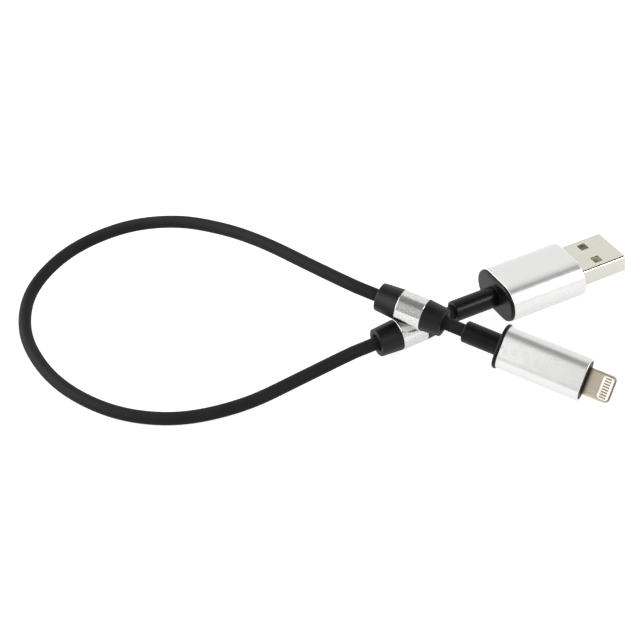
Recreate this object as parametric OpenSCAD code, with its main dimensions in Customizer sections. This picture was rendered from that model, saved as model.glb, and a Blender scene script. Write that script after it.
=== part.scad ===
// Short charging cable with a flat host plug, a small reversible phone plug
// and two magnetic collars that slide on the cord and hold it in a loop.
// Millimetres. The origin is the middle of the host plug's tip face,
// +X is the way that plug goes in, +Z is up.

/* [Host plug shell] */
// Width of the folded metal shell
shell_w = 12; // [11.5:0.1:12.5]
// Height of the shell
shell_h = 4.5; // [4.2:0.1:4.8]
// Whole length of the shell, with the part inside the sleeve
shell_len = 18.7; // [17:0.1:21]
// Length of shell that stands out of the sleeve
shell_out = 12.8; // [12:0.1:13.2]
// Thickness of the shell's sheet
shell_sheet = 0.3; // [0.2:0.05:0.4]
// Outer radius of the shell's long edges
shell_corner = 0.6; // [0.5:0.05:0.9]
// Width of each latch window across the shell
window_w = 2.4; // [1.6:0.1:2.8]
// Length of each latch window along the shell
window_len = 2.1; // [1.5:0.1:2.6]
// Distance from the shell's middle line to a window's middle
window_side = 3.1; // [2.6:0.1:3.5]
// Distance from the tip to a window's middle
window_back = 6.6; // [5.5:0.1:7.5]
// Width of the seam where the folded sheet meets
seam_w = 0.12; // [0.08:0.02:0.3]

/* [Host plug tongue and contacts] */
// Distance from the shell's tip to the tongue's front
tongue_set = 0.8; // [0.4:0.1:1.5]
// Depth of the hollow above the tongue, from the tip
hollow_len = 9.4; // [8.7:0.1:10.5]
// Bevel on the tongue's front edge
tongue_bevel = 0.5; // [0.2:0.1:0.8]
// Width of one contact strip
strip_w = 1; // [0.7:0.1:1.2]
// Thickness of one contact strip
strip_t = 0.25; // [0.15:0.05:0.35]
// Height of a strip above the tongue
strip_proud = 0.06; // [0.02:0.02:0.12]
// Distance from the middle to each inner strip
strip_inner = 1; // [0.9:0.05:1.2]
// Distance from the middle to each outer strip
strip_outer = 3.5; // [3.2:0.05:3.7]
// How much further back the inner strips start
strip_stagger = 1; // [0.5:0.1:1.5]
// Distance from the tongue's front to the outer strips
strip_set = 0.8; // [0.7:0.1:1.5]
// Length of the solder tails behind the tongue's block
tail_len = 2.2; // [1.6:0.1:3]

/* [Host plug sleeve] */
// Length of the sleeve
host_sleeve_len = 20.5; // [18:0.1:23]
// Half of the sleeve's flat width
host_half = 3.5; // [3.2:0.1:4]
// Radius of the sleeve's round sides
host_r = 5; // [4.9:0.05:5.3]
// Radius of the hole through the sleeve's round sides
host_hole_r = 4.2; // [4:0.05:4.25]
// Rounding of the sleeve's front edge
host_front_edge = 0.6; // [0.3:0.05:0.7]
// Depth of the plastic core's face inside the sleeve's mouth
host_core_set = 0.15; // [0.05:0.05:0.5]

/* [Host plug end cap] */
// Thickness of the end cap's flange
host_cap_t = 0.8; // [0.7:0.1:1.4]
// How far the flange stays inside the sleeve's outline
host_cap_inset = 0.15; // [0.05:0.05:0.3]
// Rounding of the flange's rear edge
host_cap_edge = 0.55; // [0.3:0.05:0.6]
// Length of the strain relief tube behind the flange
host_relief_len = 11.9; // [9:0.1:15]

/* [Phone plug tab] */
// Width of the tab
tab_w = 6.7; // [6.6:0.05:6.9]
// Thickness of the tab
tab_t = 1.5; // [1.4:0.05:1.6]
// Length of the tab outside the sleeve
tab_out = 6.8; // [6.6:0.1:7.5]
// Length of the tab's frame inside the sleeve
tab_in = 5.5; // [4:0.1:6.5]
// Rounding of the tab's two tip corners
tab_corner = 1.3; // [1:0.1:1.6]
// Rounding of the tab's long edges
tab_edge = 0.55; // [0.3:0.05:0.65]
// Radius of the latch notches in the tab's sides
notch_r = 0.7; // [0.5:0.05:0.9]
// Depth of the latch notches
notch_deep = 0.35; // [0.2:0.05:0.45]
// Height of the latch notches across the tab's edge
notch_h = 0.8; // [0.5:0.1:1.2]
// Distance from the sleeve to the notches' middle
notch_at = 2.9; // [2.2:0.1:3.1]

/* [Phone plug contacts] */
// Length of the white contact field
field_len = 2.7; // [2.4:0.05:2.8]
// Width of the contact field
field_w = 5.5; // [5.3:0.05:5.6]
// Corner radius of the contact field
field_corner = 0.7; // [0.4:0.05:0.9]
// Metal left between the field and the tip
field_rim = 0.35; // [0.3:0.05:0.6]
// Length of one contact
pad_len = 1.6; // [1.2:0.05:1.9]
// Width of one contact
pad_w = 0.36; // [0.25:0.02:0.5]
// Spacing of the contacts
pad_pitch = 0.65; // [0.6:0.01:0.66]
// Number of contacts on each face
pad_count = 8; // [6:1:8]
// Depth of a contact in the field
pad_deep = 0.2; // [0.1:0.05:0.3]
// Height of a contact above the field
pad_proud = 0.02; // [0.01:0.01:0.05]

/* [Phone plug sleeve] */
// Length of the sleeve
phone_sleeve_len = 20.9; // [19:0.1:24]
// Half of the sleeve's flat width
phone_half = 1.95; // [1.9:0.05:2.3]
// Radius of the sleeve's round sides
phone_r = 3.3; // [3.2:0.05:3.45]
// Wall of the sleeve
phone_wall = 0.45; // [0.3:0.05:0.55]
// Rounding of the sleeve's edges
phone_edge = 0.2; // [0.1:0.05:0.3]
// Thickness of the black plate in the sleeve's mouth
bezel_t = 0.9; // [0.6:0.1:1.4]
// Depth of that plate's face inside the mouth
bezel_set = 0.05; // [0:0.05:0.3]

/* [Phone plug end cap] */
// Thickness of the end cap's flange
phone_cap_t = 0.9; // [0.7:0.1:1.4]
// Overhang of the flange past the sleeve
phone_cap_lip = 0.25; // [0.05:0.05:0.4]
// Rounding of the flange's rear edge
phone_cap_edge = 0.35; // [0.2:0.05:0.5]
// Length of the strain relief tube behind the flange
phone_relief_len = 9.2; // [7:0.1:10.5]

/* [Inside both plugs] */
// Outer diameter of the strain relief tubes
relief_d = 5.3; // [5:0.1:5.8]
// Rounding of the tubes' end edge
relief_edge = 0.35; // [0.1:0.05:0.5]
// Length of the end cap's spigot inside a sleeve
spigot_len = 1.2; // [0.8:0.1:1.6]
// Length of the crimp ring on the cord's end
crimp_len = 3.2; // [2.4:0.1:3.6]
// Wall of the crimp ring
crimp_wall = 0.45; // [0.3:0.05:0.5]
// Bare stretch of cord in front of a crimp ring
cord_stub = 0.6; // [0.4:0.1:1]
// Diameter of one insulated wire
wire_d = 0.7; // [0.5:0.05:0.8]
// Length of wire soldered down on a tail or a board
solder_len = 1.4; // [1:0.1:1.5]
// Thickness of the circuit board
board_t = 0.6; // [0.5:0.05:0.7]
// Width of the circuit board
board_w = 4.6; // [4.2:0.1:5]
// Length of board behind the tab's frame
board_out = 4.5; // [4:0.1:5]

/* [Sliding collars] */
// Radius of a collar's metal band
band_r = 4; // [3.8:0.05:4.1]
// Length of the band
band_len = 6.6; // [6:0.1:8]
// Wall of the band
band_wall = 0.5; // [0.3:0.05:0.7]
// Bevel on the band's two rims
band_bevel = 0.12; // [0.05:0.01:0.2]
// Length of the cap on a collar's plug side, outside the band
front_cap_len = 5; // [4:0.1:5.2]
// Length of the cap on the loop side
rear_cap_len = 5.6; // [4:0.1:6]
// Radius of a cap at its narrow end
cap_tip_r = 3.5; // [3.2:0.05:3.7]
// Rounding of the cap's end edge
cap_edge = 0.5; // [0.2:0.05:0.6]
// Radius of the flared mouth where the cord leaves a cap
cap_mouth_r = 2.4; // [2.1:0.05:2.5]
// Depth of that flare
cap_mouth_deep = 0.9; // [0.5:0.1:1.5]
// Length of a cap's spigot inside the band
cap_spigot = 1.1; // [0.7:0.1:1.6]
// From the host plug's tube to the middle of the lower collar
lower_collar_at = 12.2; // [12:0.1:14]
// From the phone plug's tube to the middle of the upper collar
upper_collar_at = 13.7; // [13:0.1:14.5]
// Travel of a collar from its stored place towards the loop
slide_travel = 5; // [3:0.1:6]
// Straight cord left behind a collar at the end of that travel
run_out = 1.2; // [1:0.1:3]
// Gap between the two bands where the collars cross
band_clear = 0.5; // [0.3:0.1:1]

/* [How the plugs lie] */
// How far the phone plug lies to the side of the host plug's line
phone_aside = 39; // [38:0.1:40]
// How far it lies behind the host plug's tip
phone_back = 32.9; // [32.5:0.1:34]

/* [Cord and fits] */
// Diameter of the cord
cord_d = 3.2; // [3:0.1:3.2]
// Radial clearance of a collar or a tube round the cord
cord_gap = 0.08; // [0.05:0.01:0.1]
// Clearance between pieces that seat in each other
seat_gap = 0.04; // [0.02:0.01:0.06]

/* [Hidden] */
$fn = 48;

// Small overlap that makes a cut run clean past a face
cut = 1;
// Steps in a rounded edge of a turned profile
edge_steps = 5;

// Places along the host plug, counted back from its tip
host_front = -shell_out;
host_rear = host_front - host_sleeve_len;
host_cap_rear = host_rear - host_cap_t;
host_mouth = host_cap_rear - host_relief_len;
host_spigot = host_rear + spigot_len;
host_crimp_front = host_spigot + crimp_len;
host_cord_end = host_crimp_front + cord_stub;
block_rear = -(shell_len - tail_len);

// Places along the phone plug, counted back from its sleeve's face
phone_rear = -phone_sleeve_len;
phone_cap_rear = phone_rear - phone_cap_t;
phone_mouth = phone_cap_rear - phone_relief_len;
phone_spigot = phone_rear + spigot_len;
phone_crimp_front = phone_spigot + crimp_len;
phone_cord_end = phone_crimp_front + cord_stub;
board_rear = -tab_in - board_out;
field_front = tab_out - field_rim;
phone_hole_r = phone_r - phone_wall;

// Radii that follow the cord
cord_r = cord_d / 2;
bore_r = cord_r + cord_gap;
relief_r = relief_d / 2;
crimp_r = cord_r + seat_gap + crimp_wall;
wire_r = wire_d / 2;
band_hole_r = band_r - band_wall;

// From a collar's middle to the place where the straight cord ends
collar_run = band_len / 2 + rear_cap_len + slide_travel + run_out;

// How the plugs lie: the lower line dips behind the host plug, and the
// phone plug rests on the same surface, turned and rolled to one side
lower_dip = 2;
phone_heading = -54.8;
phone_roll = 52;
phone_rise = phone_half * sin(phone_roll) + phone_r - host_r;
phone_place = [-phone_back, -phone_aside, phone_rise];

// Where the two lines cross, seen from above: how far that is from the
// phone plug, how low the lower line is there, and how high the upper
// band's middle is over the lower band's. This sets the phone plug's slope
cross_run = -phone_aside / sin(phone_heading);
cross_back = phone_back + cross_run * cos(phone_heading);
cross_low = (cross_back + host_mouth) * tan(lower_dip);
cross_lean = 13.5;
cross_high = (2 * band_r + band_clear) / cos(cross_lean);
phone_pitch = -atan((cross_high - cross_low - phone_rise) / cross_run);
phone_turn = [phone_roll, -phone_pitch, phone_heading];

// The cord's loop between the two straight stretches, in round numbers
loop_points = [
    [-88.2, -0.8, -2], [-103.2, -1.2, -3], [-118, 2.6, -3.4],
    [-129.4, 11.8, -3.4], [-136.6, 25.4, -3.4], [-139.2, 40, -3.4],
    [-137.6, 55.2, -3], [-130.4, 68, -1.6], [-117.6, 74.6, 1],
    [-103.4, 72.2, 4.4], [-92, 63, 7.6], [-83.8, 50.4, 9.6],
    [-78.2, 37, 11], [-72.8, 22.6, 11]
];
// Where the loop's two ends run straight, counted along their lines,
// and how far along them the curve looks back for its direction
lower_straight = lower_collar_at + collar_run;
upper_straight = upper_collar_at + collar_run;
look_back = 12.5;
// Sides of the cord and of a bent wire, and rings for each step of the loop
cord_sides = 8;
cord_steps = 2;

// ---- placing -------------------------------------------------------

// A point on the lower line, s behind the host plug's mouth
function lower_point(s) =
    [host_mouth - s * cos(lower_dip), 0, -s * sin(lower_dip)];

// The phone plug's own direction, out through its tip
phone_way = [
    cos(phone_pitch) * cos(phone_heading),
    cos(phone_pitch) * sin(phone_heading),
    sin(phone_pitch)
];

// A point on the phone plug's line, s behind its mouth
function upper_point(s) = phone_place + (phone_mouth - s) * phone_way;

module at_phone() {
    translate(phone_place) rotate(phone_turn) children();
}

module at_lower_collar() {
    translate(lower_point(lower_collar_at))
        rotate([0, -lower_dip, 0])
            children();
}

module at_upper_collar() {
    translate(upper_point(upper_collar_at))
        rotate(phone_turn)
            children();
}

// ---- shapes shared by several pieces -------------------------------

// Rounded corner of a profile: points on an arc from angle a to angle b
function corner(c, r, a, b) = [
    for (i = [0 : edge_steps])
        c + r * [cos(a + (b - a) * i / edge_steps),
                 sin(a + (b - a) * i / edge_steps)]
];

// Profile [along X, radius] of a body from x0 to x1 with radius r
// and edges rounded by e0 and e1
function barrel(x0, x1, r, e0, e1) = concat(
    [[x0, 0]],
    corner([x0 + e0, r - e0], e0, 180, 90),
    corner([x1 - e1, r - e1], e1, 90, 0),
    [[x1, 0]]
);

// Profile turned round the X axis
module turned(profile) {
    rotate([0, 90, 0])
        rotate_extrude()
            polygon([for (p = profile) [p[1], p[0]]]);
}

// Tube along X
module tube(x0, x1, r_out, r_in) {
    turned([[x0, r_in], [x0, r_out], [x1, r_out], [x1, r_in]]);
}

// Rod along X
module rod(x0, x1, r) {
    translate([x0, 0, 0]) rotate([0, 90, 0]) cylinder(h = x1 - x0, r = r);
}

// Body with flat faces above and below and round sides: the profile is
// turned at each side and drawn straight across the flat between them
module flat_barrel(profile, half) {
    end = len(profile) - 1;
    for (side = [0, 1])
        mirror([0, side, 0])
            translate([0, half, 0])
                rotate([0, 90, 0])
                    rotate_extrude(angle = 180)
                        polygon([for (p = profile) [p[1], p[0]]]);
    rotate([90, 0, 0])
        linear_extrude(height = 2 * half, center = true)
            polygon(concat(
                profile,
                [for (i = [end - 1 : -1 : 1])
                    [profile[i][0], -profile[i][1]]]
            ));
}

// Straight flat-sided body without rounded edges
module flat_plug(x0, x1, half, r) {
    flat_barrel([[x0, 0], [x0, r], [x1, r], [x1, 0]], half);
}

// Rectangle with round corners, centred
module round_rect(w, h, r) {
    square([w - 2 * r, h], center = true);
    square([w, h - 2 * r], center = true);
    for (x = [-1, 1], y = [-1, 1])
        translate([x * (w / 2 - r), y * (h / 2 - r)]) circle(r = r);
}

// Bar along X with a rounded rectangle as its section
module bar(x0, x1, w, h, r) {
    translate([x0, 0, 0])
        rotate([90, 0, 90])
            linear_extrude(height = x1 - x0)
                round_rect(w, h, r);
}

// Box along X, centred across
module block(x0, x1, w, z0, z1) {
    translate([x0, -w / 2, z0]) cube([x1 - x0, w, z1 - z0]);
}

// ---- cord and wires along a line of points --------------------------

function unit(v) = v / norm(v);

// Direction of the line at point i
function way(line, i) = unit(
    line[min(i + 1, len(line) - 1)] - line[max(i - 1, 0)]
);

// One ring round point i, square to the line's direction
function ring(line, i, r) =
    let (side = unit(cross(way(line, i), [0, 0, 1])),
         up = cross(side, way(line, i)))
    [for (k = [0 : cord_sides - 1])
        line[i] + r * (cos(360 * k / cord_sides) * side
            + sin(360 * k / cord_sides) * up)];

// Closed round body of radius r along a line of points
module swept(line, r) {
    rings = len(line);
    n = cord_sides;
    polyhedron(
        points = [for (i = [0 : rings - 1]) each ring(line, i, r)],
        faces = concat(
            [[for (k = [0 : n - 1]) k]],
            [for (i = [0 : rings - 2], k = [0 : n - 1])
                each [[i * n + k, (i + 1) * n + k, (i + 1) * n + (k + 1) % n],
                      [i * n + k, (i + 1) * n + (k + 1) % n,
                       i * n + (k + 1) % n]]],
            [[for (k = [n - 1 : -1 : 0]) (rings - 1) * n + k]]
        )
    );
}

// ---- host plug -----------------------------------------------------

// Side place of each contact strip, and how far back it starts
strip_rows = [
    [-strip_outer, 0], [-strip_inner, strip_stagger],
    [strip_inner, strip_stagger], [strip_outer, 0]
];
inside_w = shell_w - 2 * shell_sheet;
inside_h = shell_h - 2 * shell_sheet;

// Folded sheet shell with latch windows in both faces and a seam below
module host_plug_shell() {
    color("silver")
    difference() {
        bar(-shell_len, 0, shell_w, shell_h, shell_corner);
        bar(-shell_len - cut, cut, inside_w, inside_h,
            shell_corner - shell_sheet);
        for (side = [-1, 1])
            translate([-window_back, side * window_side, 0])
                cube([window_len, window_w, 2 * shell_h], center = true);
        block(-shell_len - cut, cut, seam_w, -shell_h, -inside_h / 2 + cut / 2);
    }
}

// Plastic tongue with the solid block that holds it in the shell
module host_plug_tongue() {
    tongue_w = inside_w - 2 * seat_gap;
    tongue_h = inside_h - 2 * seat_gap;
    color("dimgray")
    difference() {
        bar(block_rear, -tongue_set, tongue_w, tongue_h,
            shell_corner - shell_sheet);
        block(-hollow_len, cut, shell_w, 0, shell_h);
        translate([-tongue_set, 0, 0])
            rotate([0, 45, 0])
                cube([tongue_bevel, shell_w, tongue_bevel], center = true);
        for (row = strip_rows)
            translate([0, row[0], 0])
                block(block_rear - cut, -tongue_set - strip_set - row[1],
                      strip_w, strip_proud - strip_t, strip_proud);
    }
}

// Four gilded strips that run through the block to their solder tails
module host_plug_contacts() {
    color("gold")
    for (row = strip_rows)
        translate([0, row[0], 0])
            block(-shell_len, -tongue_set - strip_set - row[1],
                  strip_w, strip_proud - strip_t, strip_proud);
}

// Moulded plastic that holds the shell in the sleeve
module host_plug_core() {
    cavity_w = 2 * strip_outer + 2 * strip_w;
    cavity_h = inside_h - 2 * shell_sheet;
    color("black")
    difference() {
        flat_plug(host_spigot, host_front - host_core_set,
                  host_half, host_hole_r - seat_gap);
        bar(-shell_len - seat_gap, host_front + cut,
            shell_w + 2 * seat_gap, shell_h + 2 * seat_gap,
            shell_corner + seat_gap);
        block(host_crimp_front, -shell_len + cut, cavity_w,
              -cavity_h / 2, cavity_h / 2);
        rod(host_spigot - cut, host_crimp_front + cut, crimp_r + seat_gap);
    }
}

// Brushed metal sleeve with a round front edge
module host_plug_sleeve() {
    color("gainsboro")
    difference() {
        flat_barrel(barrel(host_rear, host_front, host_r,
                           phone_edge / 2, host_front_edge), host_half);
        flat_plug(host_rear - cut, host_front + cut, host_half, host_hole_r);
    }
}

// Soft end cap with its flange, spigot and strain relief tube
module host_plug_end_cap() {
    flange_r = host_r - host_cap_inset;
    color("black")
    difference() {
        union() {
            flat_barrel(barrel(host_cap_rear, host_rear, flange_r,
                               host_cap_edge, phone_edge / 2), host_half);
            flat_plug(host_rear - host_cap_t / 2, host_spigot, host_half,
                      host_hole_r - seat_gap);
            turned(barrel(host_mouth, host_rear, relief_r,
                          relief_edge, phone_edge));
        }
        rod(host_mouth - cut, host_spigot + cut, bore_r);
    }
}

// Metal ring crimped on the cord's end, in the core's bore
module host_plug_crimp() {
    color("lightgray")
    tube(host_spigot, host_crimp_front, crimp_r, cord_r + seat_gap);
}

// Four wires from the cord to the solder tails of the strips: each runs
// out of the cord, across, then flat along its tail
module host_plug_wires() {
    spread = cord_r / 2;
    lift = wire_r + seat_gap;
    solder_z = strip_proud + wire_r;
    color("firebrick")
    for (row = strip_rows) {
        y = sign(row[0]) * spread;
        z = abs(row[0]) > strip_inner ? -lift : lift;
        swept([[host_cord_end, y, z], [host_cord_end + cord_stub, y, z],
               [-shell_len, row[0], solder_z],
               [-shell_len + solder_len, row[0], solder_z]],
              wire_r);
    }
}

// ---- phone plug ----------------------------------------------------

// Outline of the tab, seen from above, with round tip corners
module tab_outline() {
    translate([-tab_in, -tab_w / 2])
        square([tab_in + tab_out - tab_corner, tab_w]);
    translate([-tab_in, -tab_w / 2 + tab_corner])
        square([tab_in + tab_out, tab_w - 2 * tab_corner]);
    for (side = [-1, 1])
        translate([tab_out - tab_corner, side * (tab_w / 2 - tab_corner)])
            circle(r = tab_corner);
}

// Solid tab: its outline, its edge section and its tip profile together
module tab_solid() {
    intersection() {
        linear_extrude(height = tab_t + 2 * cut, center = true)
            tab_outline();
        bar(-tab_in - cut, tab_out + cut, tab_w, tab_t, tab_edge);
        rotate([90, 0, 0])
            linear_extrude(height = tab_w + 2 * cut, center = true)
                translate([tab_out / 2 - tab_in / 2, 0])
                    round_rect(tab_in + tab_out, tab_t, tab_edge);
    }
}

// Outline of the contact field
module field(gap, h) {
    translate([field_front - field_len / 2, 0, 0])
        linear_extrude(height = h, center = true)
            round_rect(field_len - 2 * gap, field_w - 2 * gap, field_corner - gap);
}

// Contact places on both faces of the tab
module pads(depth, height) {
    for (face = [0, 1], i = [0 : pad_count - 1])
        mirror([0, 0, face])
            translate([field_front - field_len / 2,
                       (i - (pad_count - 1) / 2) * pad_pitch,
                       tab_t / 2 - depth + height / 2])
                cube([pad_len, pad_w, height], center = true);
}

// Metal frame of the tab: contact window, board slot and latch notches
module phone_plug_frame() {
    color("silver")
    at_phone()
    difference() {
        tab_solid();
        field(0, 2 * tab_t);
        block(-tab_in - cut, field_front - field_len / 2,
              board_w + 2 * seat_gap, -board_t / 2 - seat_gap,
              board_t / 2 + seat_gap);
        for (side = [-1, 1])
            translate([notch_at, side * (tab_w / 2 + notch_r - notch_deep), 0])
                cylinder(h = notch_h, r = notch_r, center = true);
    }
}

// White insert that fills the window and carries the contacts
module phone_plug_insert() {
    color("white")
    at_phone()
    difference() {
        field(seat_gap / 2, tab_t);
        pads(pad_deep, 2 * pad_deep);
    }
}

// Gilded contacts, the same on both faces
module phone_plug_contacts() {
    color("gold")
    at_phone()
    pads(pad_deep, pad_deep + pad_proud);
}

// Circuit board that slides into the frame and meets the insert
module phone_plug_board() {
    color("darkgreen")
    at_phone()
    block(board_rear, field_front - field_len + seat_gap / 2, board_w,
          -board_t / 2, board_t / 2);
}

// Moulded plastic that holds the tab's frame in the sleeve
module phone_plug_core() {
    cavity_h = board_t + 2 * wire_d + 2 * seat_gap;
    color("black")
    at_phone()
    difference() {
        flat_plug(phone_spigot, -bezel_set - bezel_t,
                  phone_half, phone_hole_r - seat_gap);
        bar(-tab_in - seat_gap, cut, tab_w + 2 * seat_gap,
            tab_t + 2 * seat_gap, tab_edge + seat_gap);
        block(phone_crimp_front, -tab_in + cut / 2, board_w + 2 * seat_gap,
              -cavity_h / 2, cavity_h / 2);
        rod(phone_spigot - cut, phone_crimp_front + cut, crimp_r + seat_gap);
    }
}

// Black plate that closes the sleeve's mouth round the tab
module phone_plug_bezel() {
    color("black")
    at_phone()
    difference() {
        flat_plug(-bezel_set - bezel_t, -bezel_set, phone_half,
                  phone_hole_r - seat_gap);
        bar(-tab_in, cut, tab_w + 2 * seat_gap, tab_t + 2 * seat_gap,
            tab_edge + seat_gap);
    }
}

// Brushed metal sleeve
module phone_plug_sleeve() {
    color("gainsboro")
    at_phone()
    difference() {
        flat_barrel(barrel(phone_rear, 0, phone_r,
                           phone_edge, phone_edge), phone_half);
        flat_plug(phone_rear - cut, cut, phone_half, phone_hole_r);
    }
}

// Soft end cap with its flange, spigot and strain relief tube
module phone_plug_end_cap() {
    flange_r = phone_r + phone_cap_lip;
    color("black")
    at_phone()
    difference() {
        union() {
            flat_barrel(barrel(phone_cap_rear, phone_rear, flange_r,
                               phone_cap_edge, phone_edge / 2), phone_half);
            flat_plug(phone_rear - phone_cap_t / 2, phone_spigot, phone_half,
                      phone_hole_r - seat_gap);
            turned(barrel(phone_mouth, phone_rear, relief_r,
                          relief_edge, phone_edge));
        }
        rod(phone_mouth - cut, phone_spigot + cut, bore_r);
    }
}

// Metal ring crimped on the cord's end, in the core's bore
module phone_plug_crimp() {
    color("lightgray")
    at_phone()
    tube(phone_spigot, phone_crimp_front, crimp_r, cord_r + seat_gap);
}

// Four wires laid on the two faces of the board
module phone_plug_wires() {
    color("firebrick")
    at_phone()
    for (y = [-1, 1], z = [-1, 1])
        translate([0, y * wire_d, z * (board_t / 2 + wire_r)])
            rod(phone_cord_end, board_rear + solder_len, wire_r);
}

// ---- sliding collars -----------------------------------------------

// Metal band with lightly bevelled rims
module collar_band() {
    b = band_bevel;
    h = band_len / 2;
    color("gainsboro")
    turned([[-h, band_hole_r], [-h, band_r - b], [-h + b, band_r],
            [h - b, band_r], [h, band_r - b], [h, band_hole_r]]);
}

// Black tapered cap that plugs into the band, with a flared cord mouth
module collar_cap(cap_len) {
    root = band_len / 2;
    tip = root + cap_len;
    spigot_r = band_hole_r - seat_gap;
    brow = atan2(cap_len, band_r - band_bevel - cap_tip_r);
    color("black")
    turned(concat(
        [[root - cap_spigot, bore_r], [root - cap_spigot, spigot_r],
         [root, spigot_r], [root, band_r - band_bevel]],
        corner([tip - cap_edge, cap_tip_r - cap_edge], cap_edge, brow, 0),
        [[tip, cap_mouth_r], [tip - cap_mouth_deep, bore_r]]
    ));
}

// Ring magnet between the two spigots
module collar_magnet() {
    h = band_len / 2 - cap_spigot;
    color("dimgray")
    tube(-h, h, band_hole_r - seat_gap, bore_r + seat_gap);
}

module lower_collar_band() {
    at_lower_collar() collar_band();
}

module lower_collar_front_cap() {
    at_lower_collar() collar_cap(front_cap_len);
}

module lower_collar_rear_cap() {
    at_lower_collar() mirror([1, 0, 0]) collar_cap(rear_cap_len);
}

module lower_collar_magnet() {
    at_lower_collar() collar_magnet();
}

module upper_collar_band() {
    at_upper_collar() collar_band();
}

module upper_collar_front_cap() {
    at_upper_collar() collar_cap(front_cap_len);
}

module upper_collar_rear_cap() {
    at_upper_collar() mirror([1, 0, 0]) collar_cap(rear_cap_len);
}

module upper_collar_magnet() {
    at_upper_collar() collar_magnet();
}

// ---- cord ----------------------------------------------------------

// The loop's curve passes through every control point
controls = concat(
    [lower_point(lower_straight - look_back), lower_point(lower_straight)],
    loop_points,
    [upper_point(upper_straight), upper_point(upper_straight - look_back)]
);

// Point at share t of the step that starts at control i
function curve(i, t) =
    let (a = controls[i - 1], b = controls[i],
         c = controls[i + 1], d = controls[i + 2])
    (2 * b + (c - a) * t + (2 * a - 5 * b + 4 * c - d) * t * t
        + (3 * b - a - 3 * c + d) * t * t * t) / 2;

// The whole route, from inside the host plug to inside the phone plug
route = concat(
    [[host_cord_end, 0, 0], [host_rear, 0, 0], lower_point(0)],
    [for (s = [1 : 3]) lower_point(lower_straight * s / 4)],
    [for (i = [1 : len(controls) - 3], k = [0 : cord_steps - 1])
        curve(i, k / cord_steps)],
    [for (s = [4 : -1 : 0]) upper_point(upper_straight * s / 4)],
    [upper_point(phone_mouth - phone_rear),
     upper_point(phone_mouth - phone_cord_end)]
);

module cord() {
    color("black")
    swept(route, cord_r);
}

host_plug_shell();
host_plug_tongue();
host_plug_contacts();
host_plug_core();
host_plug_sleeve();
host_plug_end_cap();
host_plug_crimp();
host_plug_wires();
phone_plug_frame();
phone_plug_insert();
phone_plug_contacts();
phone_plug_board();
phone_plug_core();
phone_plug_bezel();
phone_plug_sleeve();
phone_plug_end_cap();
phone_plug_crimp();
phone_plug_wires();
lower_collar_band();
lower_collar_front_cap();
lower_collar_rear_cap();
lower_collar_magnet();
upper_collar_band();
upper_collar_front_cap();
upper_collar_rear_cap();
upper_collar_magnet();
cord();
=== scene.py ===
"""Looks of a short charging cable: two metal plugs, a black cord in a loop
and two sliding magnetic collars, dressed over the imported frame."""

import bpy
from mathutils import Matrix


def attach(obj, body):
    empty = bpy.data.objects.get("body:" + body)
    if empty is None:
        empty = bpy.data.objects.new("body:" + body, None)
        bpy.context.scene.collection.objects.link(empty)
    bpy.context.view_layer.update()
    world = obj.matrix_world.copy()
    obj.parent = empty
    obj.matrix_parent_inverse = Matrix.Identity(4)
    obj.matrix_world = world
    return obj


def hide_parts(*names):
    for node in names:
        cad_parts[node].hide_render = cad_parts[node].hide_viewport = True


bl_info = {
    "name": "Charging cable",
    "version": (1, 0, 0),
    "blender": (4, 5, 0),
    "location": "3D View > Sidebar > Charging cable",
    "description": "Builds the pieces, finishes and stage of a short charging cable",
    "category": "Object",
}

import math

import bmesh
import bpy
from bpy.props import FloatProperty, FloatVectorProperty, IntProperty, PointerProperty
from mathutils import Matrix, Vector

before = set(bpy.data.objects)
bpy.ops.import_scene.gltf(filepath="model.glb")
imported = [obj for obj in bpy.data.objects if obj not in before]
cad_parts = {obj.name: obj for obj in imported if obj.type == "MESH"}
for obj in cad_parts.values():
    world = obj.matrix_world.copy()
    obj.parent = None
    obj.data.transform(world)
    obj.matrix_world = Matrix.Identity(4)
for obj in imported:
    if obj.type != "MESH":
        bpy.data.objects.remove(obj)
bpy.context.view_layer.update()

MM = 0.001

# ---------------------------------------------------------------- placing

# How far the phone plug is rolled to one side, in degrees
PHONE_ROLL = 52.0

# The cord's loop between its two straight stretches, in millimetres
LOOP_POINTS = (
    (-88.2, -0.8, -2), (-103.2, -1.2, -3), (-118, 2.6, -3.4), (-129.4, 11.8, -3.4),
    (-136.6, 25.4, -3.4), (-139.2, 40, -3.4), (-137.6, 55.2, -3),
    (-130.4, 68, -1.6), (-117.6, 74.5, 1), (-103.4, 72.2, 4.4), (-92, 63, 7.6),
    (-83.8, 50.4, 9.6), (-78.2, 37, 11), (-72.8, 22.6, 11),
)
# Straight cord behind a collar's cap, and how far the curve looks back
RUN_OUT = 6.2
LOOK_BACK = 12.5
# Bare cord in front of a crimp ring, and straight cord behind a cord's end
CORD_STUB = 0.6
CORD_TAIL = 6
# Steps of each stretch of the loop, steps of a straight, rounds of smoothing
LOOP_STEPS = 10
STRAIGHT_STEPS = 12
SMOOTHING = 6
# Gap between a sleeve or band and the piece that seats in it
SEAT = 0.04


def turn(angles, place=Vector()):
    """Matrix that turns about X, then Y, then Z, and moves to a place."""
    x, y, z = (Matrix.Rotation(a, 4, axis) for a, axis in zip(angles, "XYZ"))
    return Matrix.Translation(place) @ z @ y @ x


def extent(cad_node, place):
    """Lowest and highest corner of a CAD piece in its own frame, in millimetres."""
    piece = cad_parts[cad_node]
    inside = place.inverted() @ piece.matrix_world
    points = [inside @ v.co / MM for v in piece.data.vertices]
    return (Vector([min(p[i] for p in points) for i in range(3)]),
            Vector([max(p[i] for p in points) for i in range(3)]))


def centre(cad_node):
    """Middle of a CAD piece's box, in metres."""
    low, high = extent(cad_node, Matrix.Identity(4))
    return (low + high) / 2 * MM


def along(way, roll=0.0):
    """Turn that lays X along a direction, rolled about it by degrees."""
    rise = math.asin(way.z)
    return math.radians(roll), -rise, math.atan2(way.y, way.x)


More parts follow.
